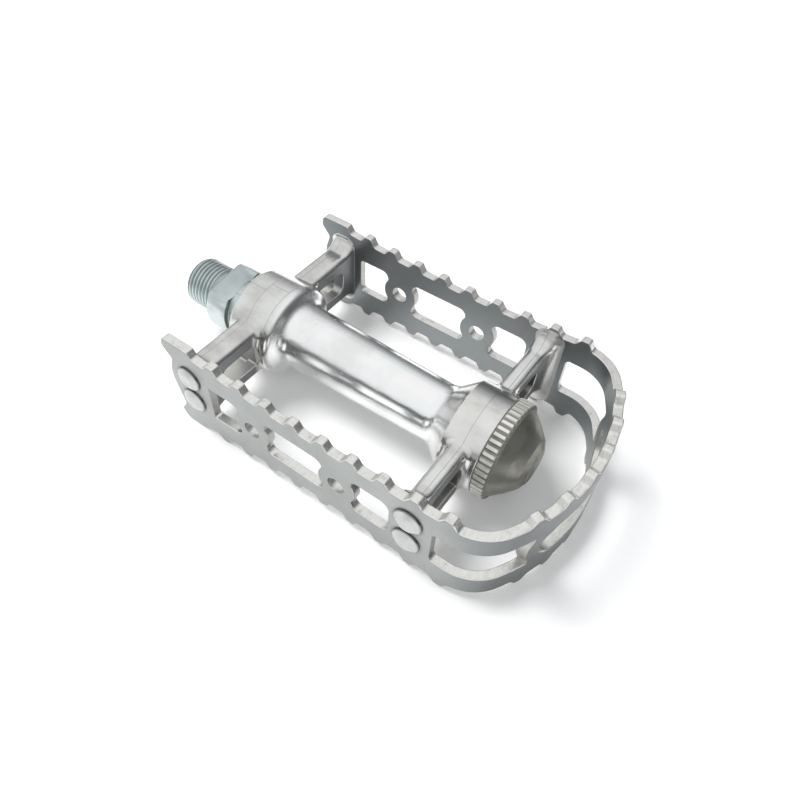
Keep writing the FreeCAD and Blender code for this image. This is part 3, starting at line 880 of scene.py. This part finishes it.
@dataclass
class Spindle:
    """The spindle with its thread cut and its collar's edges broken.

    The thread runs from the shoulder at X = 0 towards -X and starts a little inside the shoulder.
    """

    major_r: float = 7.14 * MM
    depth: float = 0.72 * MM
    pitch: float = 1.27 * MM
    length: float = 11.4 * MM
    inside: float = 0.5 * MM
    plain: float = 1.9 * MM
    plain_r: float = 6.55 * MM
    chamfer: float = 1.0 * MM
    runout: Pair = (-0.5 * MM, 0.3 * MM)
    flank: Pair = (0.16, 0.84)
    hand: Hand = Hand.LEFT
    around: int = 96
    along: int = 236
    edge: float = 0.22 * MM
    edge_segments: int = 2
    edge_angle: float = 35.0
    sharp_angle: float = 40.0

    def build(self) -> bpy.types.Object:
        """Join the cut thread to the rest of the spindle, in place of the plain one.

        Returns:
            The spindle.
        """
        finish = ZincPlate(root_r=self.major_r - self.depth, crest_r=self.major_r)
        material = finish.material()
        piece = self._shaft()
        soften(piece, self.edge, self.edge_segments, self.edge_angle)
        self._join(piece, self._thread(material))
        dress(piece, material)
        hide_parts("spindle")
        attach(piece, "spindle_set")
        return piece

    def _shaft(self) -> bpy.types.Object:
        """Copy the spindle without its plain thread, closed at the shoulder.

        Returns:
            The shaft.
        """
        made = joined_copy("spindle")
        thread = [f for f in made.faces if f.calc_center_median().x < -JOIN_GAP]
        bmesh.ops.delete(made, geom=thread, context="FACES")
        rim = [e for e in made.edges if e.is_boundary]
        bmesh.ops.contextual_create(made, geom=rim)
        return new_piece("spindle_cut", made)

    def _join(self, piece: bpy.types.Object, thread: bpy.types.Mesh) -> None:
        """Add the thread's mesh to the spindle's.

        Args:
            piece: the spindle, which gets the thread.
            thread: the thread's mesh, which is used up.
        """
        made = bmesh.new()
        made.from_mesh(piece.data)
        made.from_mesh(thread)
        made.to_mesh(piece.data)
        made.free()
        bpy.data.meshes.remove(thread)
        piece.data.shade_smooth()
        piece.data.set_sharp_from_angle(angle=math.radians(self.sharp_angle))

    def _sizes(self) -> Dict[str, float]:
        """The thread's sizes, by the names of the node tree's inputs."""
        return {
            "Major Radius": self.major_r,
            "Depth": self.depth,
            "Pitch": self.pitch,
            "Length": self.length,
            "Inside": self.inside,
            "Plain Length": self.plain,
            "Plain Radius": self.plain_r,
            "Chamfer": self.chamfer,
            "Hand": self.hand.value,
        }

    def _thread(self, material: bpy.types.Material) -> bpy.types.Mesh:
        """Cut the thread with a node tree.

        Args:
            material: what the thread gets.

        Returns:
            Its mesh.
        """
        given = {**self._sizes(), "Material": material}
        blank = bpy.data.meshes.new("thread")
        holder = bpy.data.objects.new("thread", blank)
        bpy.context.scene.collection.objects.link(holder)
        cutter = holder.modifiers.new("thread", "NODES")
        cutter.node_group = self._thread_tree()
        for item in cutter.node_group.interface.items_tree:
            if item.name in given:
                cutter[item.identifier] = given[item.name]
        mesh = settled_mesh(holder)
        bpy.data.objects.remove(holder)
        return mesh

    def _thread_tree(self) -> bpy.types.NodeTree:
        """Build the tree that winds a thread round a rod along X.

        Returns:
            The tree, with its sizes as named inputs.
        """
        tree = bpy.data.node_groups.new("screw_thread", "GeometryNodeTree")
        graph = Graph(tree)
        for name in self._sizes():
            tree.interface.new_socket(name, in_out="INPUT", socket_type="NodeSocketFloat")
        tree.interface.new_socket("Material", in_out="INPUT", socket_type="NodeSocketMaterial")
        tree.interface.new_socket("Thread", in_out="OUTPUT", socket_type="NodeSocketGeometry")
        given = graph.node("NodeGroupInput", {}, {})
        major, depth, pitch, length, inside, plain, plain_r, chamfer, hand = (
            Value(graph, given.outputs[name]) for name in self._sizes()
        )
        # A rod one metre long and one in radius, whose height and turn say where each corner goes.
        inputs = {"Vertices": self.around, "Side Segments": self.along, "Radius": 1.0, "Depth": 1.0}
        rod = graph.node("GeometryNodeMeshCylinder", {"fill_type": "NGON"}, inputs)
        place = graph.node("GeometryNodeInputPosition", {}, {})
        across, up, run = graph.split(place.outputs[0])
        turn = up.angle_to(across)
        x = inside - (run + 0.5) * (length + inside)
        phase = (x / pitch + hand * turn / math.tau).fraction()
        crest = (abs(phase - 0.5) * 2.0).ramp(*self.flank)
        cut_r = major - depth * (1 - crest)
        runout = (x + plain).ramp(*self.runout)
        radius = cut_r * (1 - runout) + cut_r.low(plain_r) * runout
        radius = radius.low(major - chamfer + (x + length))
        inputs = {0: x, 1: radius * turn.cosine(), 2: radius * turn.sine()}
        moved = graph.node("ShaderNodeCombineXYZ", {}, inputs)
        inputs = {"Geometry": rod.outputs[0], "Position": moved.outputs[0]}
        wound = graph.node("GeometryNodeSetPosition", {}, inputs)
        turned = graph.node("GeometryNodeFlipFaces", {}, {0: wound.outputs[0]})
        real = graph.node("GeometryNodeRealizeInstances", {}, {0: turned.outputs[0]})
        inputs = {"Geometry": real.outputs[0], "Material": given.outputs["Material"]}
        dressed = graph.node("GeometryNodeSetMaterial", {}, inputs)
        graph.node("NodeGroupOutput", {}, {0: dressed.outputs[0]})
        return tree


@dataclass
class Bearings:
    """Cups, balls, cone, washer and nut."""

    races: GroundSteel = GroundSteel()
    balls: GroundSteel = GroundSteel(
        name="ball_polished",
        steel=(0.78, 0.78, 0.78, 1.0),
        grease=(0.5, 0.44, 0.34, 1.0),
        roughness=0.07,
        film=0.25,
    )
    hardware: ZincPlate = ZincPlate("hardware_zinc")
    race_nodes: Tuple[str, ...] = ("inboard_cup", "outboard_cup", "adjusting_cone")
    hardware_nodes: Tuple[str, ...] = ("keyed_washer", "lock_nut")
    count: int = 11

    def build(self) -> None:
        """Dress every piece of both bearings."""
        ball_nodes = [f"{row.value}_{i:02d}" for row in Row for i in range(1, self.count + 1)]
        for finish, names in (
            (self.races, self.race_nodes),
            (self.hardware, self.hardware_nodes),
            (self.balls, ball_nodes),
        ):
            material = finish.material()
            for name in names:
                dress(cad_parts[name], material)
            LOG.info("%s: %d pieces", finish.name, len(names))


@dataclass
class Studio:
    """Pale floor, grey walls that the camera does not see, one broad lamp and a white surround.

    The walls brighten from foot to top, and sooner on the crank's side and the near side.
    """

    floor_size: float = 4.0
    floor_gap: float = 0.02 * MM
    floor_white: Colour = (0.82, 0.82, 0.82, 1.0)
    floor_lift: float = 0.12
    wall_foot: Colour = (0.075, 0.08, 0.086, 1.0)
    wall_top: Colour = (0.95, 0.97, 0.98, 1.0)
    wall_r: float = 1.0
    wall_sides: int = 48
    wall_gap: float = 1.0 * MM
    wall_height: float = 2.2
    wall_bright: float = 1.35
    wall_light: float = 0.6
    wall_near: float = 0.55
    white: Colour = (1.0, 1.0, 1.0, 1.0)
    ambient: float = 0.45
    lamp_side: Point = (-0.56, -0.06, 0.83)
    lamp_spread: float = 0.5
    lamp_strength: float = 2.9

    def build(self) -> None:
        """Make the floor, the walls, the surround and the lamp."""
        level = CAD_BOX[0].z - self.floor_gap
        half = self.floor_size / 2
        corners = [(-half, -half, level), (half, -half, level), (half, half, level), (-half, half, level)]
        self._card("floor", corners, [(0, 1, 2, 3)], self._floor_paper())
        self._walls(level + self.wall_gap)
        self._surround()
        self._lamp()

    def _seen(self, graph: Graph) -> Value:
        """1 for rays from the camera, a reflection or glass.

        Args:
            graph: the graph that gets the nodes.

        Returns:
            1 or 0.
        """
        path = graph.node("ShaderNodeLightPath", {}, {})
        names = ("Is Camera Ray", "Is Glossy Ray", "Is Transmission Ray")
        camera, glossy, through = (Value(graph, path.outputs[name]) for name in names)
        return (camera + glossy + through).low(1.0)

    def _card(
        self,
        name: str,
        points: Sequence[Sequence[float]],
        faces: Sequence[Sequence[int]],
        material: bpy.types.Material,
    ) -> bpy.types.Object:
        """Stand one plain card in the studio.

        Args:
            name: its name.
            points: its corners.
            faces: its faces, as rows of corner numbers.
            material: its paper.

        Returns:
            The card.
        """
        mesh = bpy.data.meshes.new(name)
        mesh.from_pydata(points, [], faces)
        mesh.materials.append(material)
        card = bpy.data.objects.new(name, mesh)
        bpy.context.scene.collection.objects.link(card)
        return card

    def _floor_paper(self) -> bpy.types.Material:
        """Matt white paper, lifted a little towards the white surround.

        Returns:
            The floor's material.
        """
        material = bpy.data.materials.new("floor_white")
        material.use_nodes = True
        graph = Graph(material.node_tree)
        paper = graph.node("ShaderNodeBsdfDiffuse", {}, {"Color": self.floor_white})
        glow = graph.node("ShaderNodeEmission", {}, {"Strength": self._seen(graph) * self.floor_lift})
        both = graph.node("ShaderNodeAddShader", {}, {0: paper.outputs[0], 1: glow.outputs[0]})
        graph.node("ShaderNodeOutputMaterial", {}, {0: both.outputs[0]})
        return material

    def _wall_cloth(self) -> bpy.types.Material:
        """Grey cloth that gives off its own light.

        Returns:
            The walls' material.
        """
        material = bpy.data.materials.new("wall_grey")
        material.use_nodes = True
        graph = Graph(material.node_tree)
        aside, away, height = graph.split(graph.node("ShaderNodeTexCoord", {}, {}).outputs["Object"])
        tilt = aside.low(0.0) * self.wall_light + away.low(0.0) * self.wall_near
        rise = (height - tilt).ramp(0.0, self.wall_bright)
        grey = graph.mix(rise, self.wall_foot, self.wall_top)
        cloth = graph.node("ShaderNodeEmission", {}, {"Color": grey})
        graph.node("ShaderNodeOutputMaterial", {}, {0: cloth.outputs[0]})
        return material

    def _walls(self, foot: float) -> None:
        """Stand the grey walls round the floor.

        Args:
            foot: height of their foot.
        """
        count = self.wall_sides
        points = []
        for height in (foot, foot + self.wall_height):
            for i in range(count):
                turn = math.tau * i / count
                points.append((self.wall_r * math.cos(turn), self.wall_r * math.sin(turn), height))
        faces = [(i, i + count, (i + 1) % count + count, (i + 1) % count) for i in range(count)]
        walls = self._card("walls", points, faces, self._wall_cloth())
        walls.visible_camera = False
        walls.visible_shadow = False

    def _surround(self) -> None:
        """Set the surround: white where it is seen, dimmer as a light."""
        world = bpy.data.worlds.new("surround")
        bpy.context.scene.world = world
        world.use_nodes = True
        graph = Graph(world.node_tree)
        strength = self.ambient + self._seen(graph) * (1.0 - self.ambient)
        light = graph.node("ShaderNodeBackground", {}, {"Color": self.white, "Strength": strength})
        graph.node("ShaderNodeOutputWorld", {}, {0: light.outputs[0]})

    def _lamp(self) -> None:
        """Hang one broad, distant lamp, left out of reflections, where the walls stand for it."""
        data = bpy.data.lights.new("key", "SUN")
        data.angle = self.lamp_spread
        data.energy = self.lamp_strength
        lamp = bpy.data.objects.new("key", data)
        bpy.context.scene.collection.objects.link(lamp)
        lamp.location = self.lamp_side
        lamp.rotation_mode = "QUATERNION"
        lamp.rotation_quaternion = (-Vector(self.lamp_side)).to_track_quat("-Z", "Y")
        lamp.visible_glossy = False


@dataclass
class Viewpoint:
    """The photograph's camera: angles in degrees, focal length and centre in pixels of its frame."""

    azimuth: float = 36.24
    elevation: float = 50.261
    roll: float = 0.905
    distance: float = 0.184875
    aim: Point = (0.050496, 0.0, -0.010604)
    frame_px: float = 800.0
    focal_px: float = 666.761
    centre_px: Pair = (367.793, 398.112)
    sensor_mm: float = 36.0
    clip: Pair = (0.005, 20.0)

    def build(self) -> bpy.types.Object:
        """Make the camera and look through it.

        Returns:
            The camera.
        """
        data = bpy.data.cameras.new("photograph")
        data.sensor_fit = "HORIZONTAL"
        data.sensor_width = self.sensor_mm
        data.lens = self.focal_px / self.frame_px * self.sensor_mm
        data.shift_x = 0.5 - self.centre_px[0] / self.frame_px
        data.shift_y = self.centre_px[1] / self.frame_px - 0.5
        data.clip_start, data.clip_end = self.clip
        camera = bpy.data.objects.new("photograph", data)
        bpy.context.scene.collection.objects.link(camera)
        camera.matrix_world = self._place()
        bpy.context.scene.camera = camera
        return camera

    def _place(self) -> Matrix:
        """Work out where the camera stands and how it is turned.

        Returns:
            Its matrix.
        """
        a = math.radians(self.azimuth)
        e = math.radians(self.elevation)
        r = math.radians(self.roll)
        back = Vector((math.sin(a) * math.cos(e), -math.cos(a) * math.cos(e), math.sin(e)))
        right = Vector((math.cos(a), math.sin(a), 0.0))
        up = back.cross(right)
        across = right * math.cos(r) + up * math.sin(r)
        upright = up * math.cos(r) - right * math.sin(r)
        turn = Matrix((across, upright, back)).transposed().to_4x4()
        return Matrix.Translation(Vector(self.aim) + back * self.distance) @ turn


def main() -> None:
    """Dress the pedal piece by piece, then set the studio and the camera."""
    logging.basicConfig(level=logging.INFO, format="%(name)s: %(message)s")
    bpy.context.scene.view_settings.view_transform = "Standard"
    for assembly in (Cage(), Casting(), Rivets(), Spindle(), DustCap()):
        piece = assembly.build()
        LOG.info("%s: %d faces", piece.name, len(piece.data.polygons))
    Bearings().build()
    Studio().build()
    Viewpoint().build()
    LOG.info("studio and camera set")


if __name__ == "__main__":
    main()
